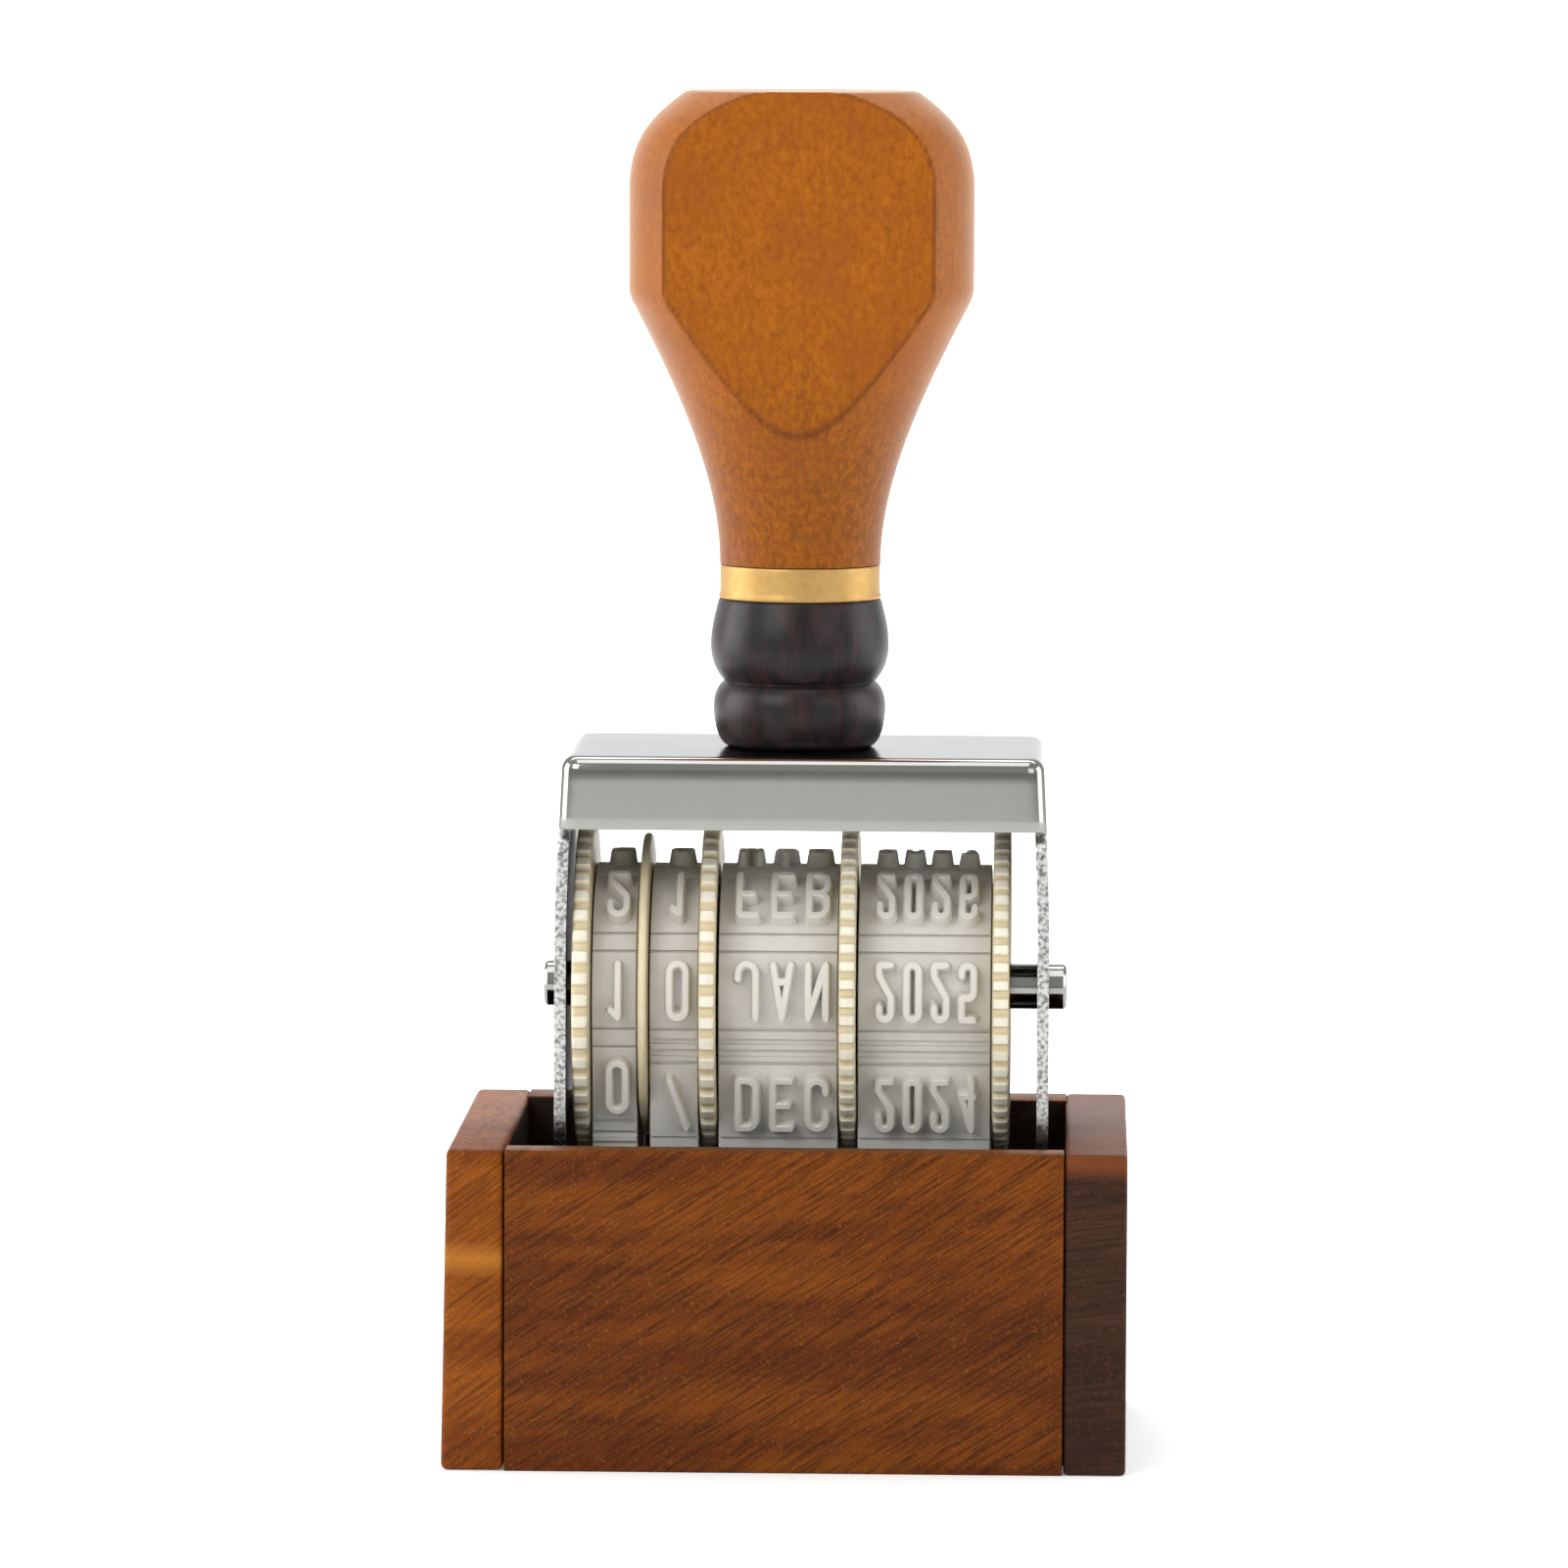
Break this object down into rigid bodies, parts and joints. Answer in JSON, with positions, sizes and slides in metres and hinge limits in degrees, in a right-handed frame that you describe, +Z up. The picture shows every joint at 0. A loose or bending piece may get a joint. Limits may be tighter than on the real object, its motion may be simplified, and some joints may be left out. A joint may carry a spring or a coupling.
{
  "type": "rotary date stamp with holder",
  "caption": "Hand date stamp with rubber type bands turned by thumb wheels in a chromed sheet frame, with a turned wooden handle, standing in an open wooden holder.",
  "frame": {"origin": "centre of the holder's underside", "axes": "+Z up the handle, +X along the wheels' spindle to the right of a person facing the front, -Y out of the front"},
  "size_m": [0.0552, 0.041, 0.1106],
  "materials": {
    "holder_wood": "oiled",
    "holder_dark_wood": "oiled",
    "chromed_sheet": "polished",
    "cream_plastic": "moulded",
    "ivory_plastic": "moulded",
    "plain_steel": "plain",
    "grey_rubber": "matt",
    "collar_wood": "stained and polished",
    "brass": "satin",
    "grip_wood": "satin lacquer"
  },
  "bodies": {
    "holder": {"holder_left_end": "holder_wood", "holder_right_end": "holder_dark_wood", "holder_front_panel": "holder_wood", "holder_back_panel": "holder_wood", "holder_floor": "holder_wood"},
    "stamp": {"sheet_frame": "chromed_sheet", "spindle": "chromed_sheet", "separator_disc": "cream_plastic", "platen": "plain_steel", "platen_pin_left": "plain_steel", "platen_pin_right": "plain_steel", "day_tens_band": "grey_rubber", "day_units_band": "grey_rubber", "month_band": "grey_rubber", "year_band": "grey_rubber", "collar": "collar_wood", "ferrule": "brass", "grip": "grip_wood", "handle_screw": "plain_steel", "screw_washer": "plain_steel"},
    "day_tens_setter": {"day_tens_wheel": "ivory_plastic"},
    "day_units_setter": {"day_units_wheel": "ivory_plastic"},
    "month_setter": {"month_wheel": "ivory_plastic"},
    "year_setter": {"year_wheel": "ivory_plastic"}
  },
  "joints": [
    {"name": "stamp_lift", "type": "slide", "parent": "holder", "child": "stamp", "axis": [0, 0, 1], "range_m": [0, 0.04]},
    {"name": "day_tens_spin", "type": "hinge", "parent": "stamp", "child": "day_tens_setter", "pos_m": [0.0011, 0, 0.0373], "axis": [1, 0, 0], "continuous": true},
    {"name": "day_units_spin", "type": "hinge", "parent": "stamp", "child": "day_units_setter", "pos_m": [0.0011, 0, 0.0373], "axis": [1, 0, 0], "continuous": true},
    {"name": "month_spin", "type": "hinge", "parent": "stamp", "child": "month_setter", "pos_m": [0.0011, 0, 0.0373], "axis": [1, 0, 0], "continuous": true},
    {"name": "year_spin", "type": "hinge", "parent": "stamp", "child": "year_setter", "pos_m": [0.0011, 0, 0.0373], "axis": [1, 0, 0], "continuous": true}
  ]
}
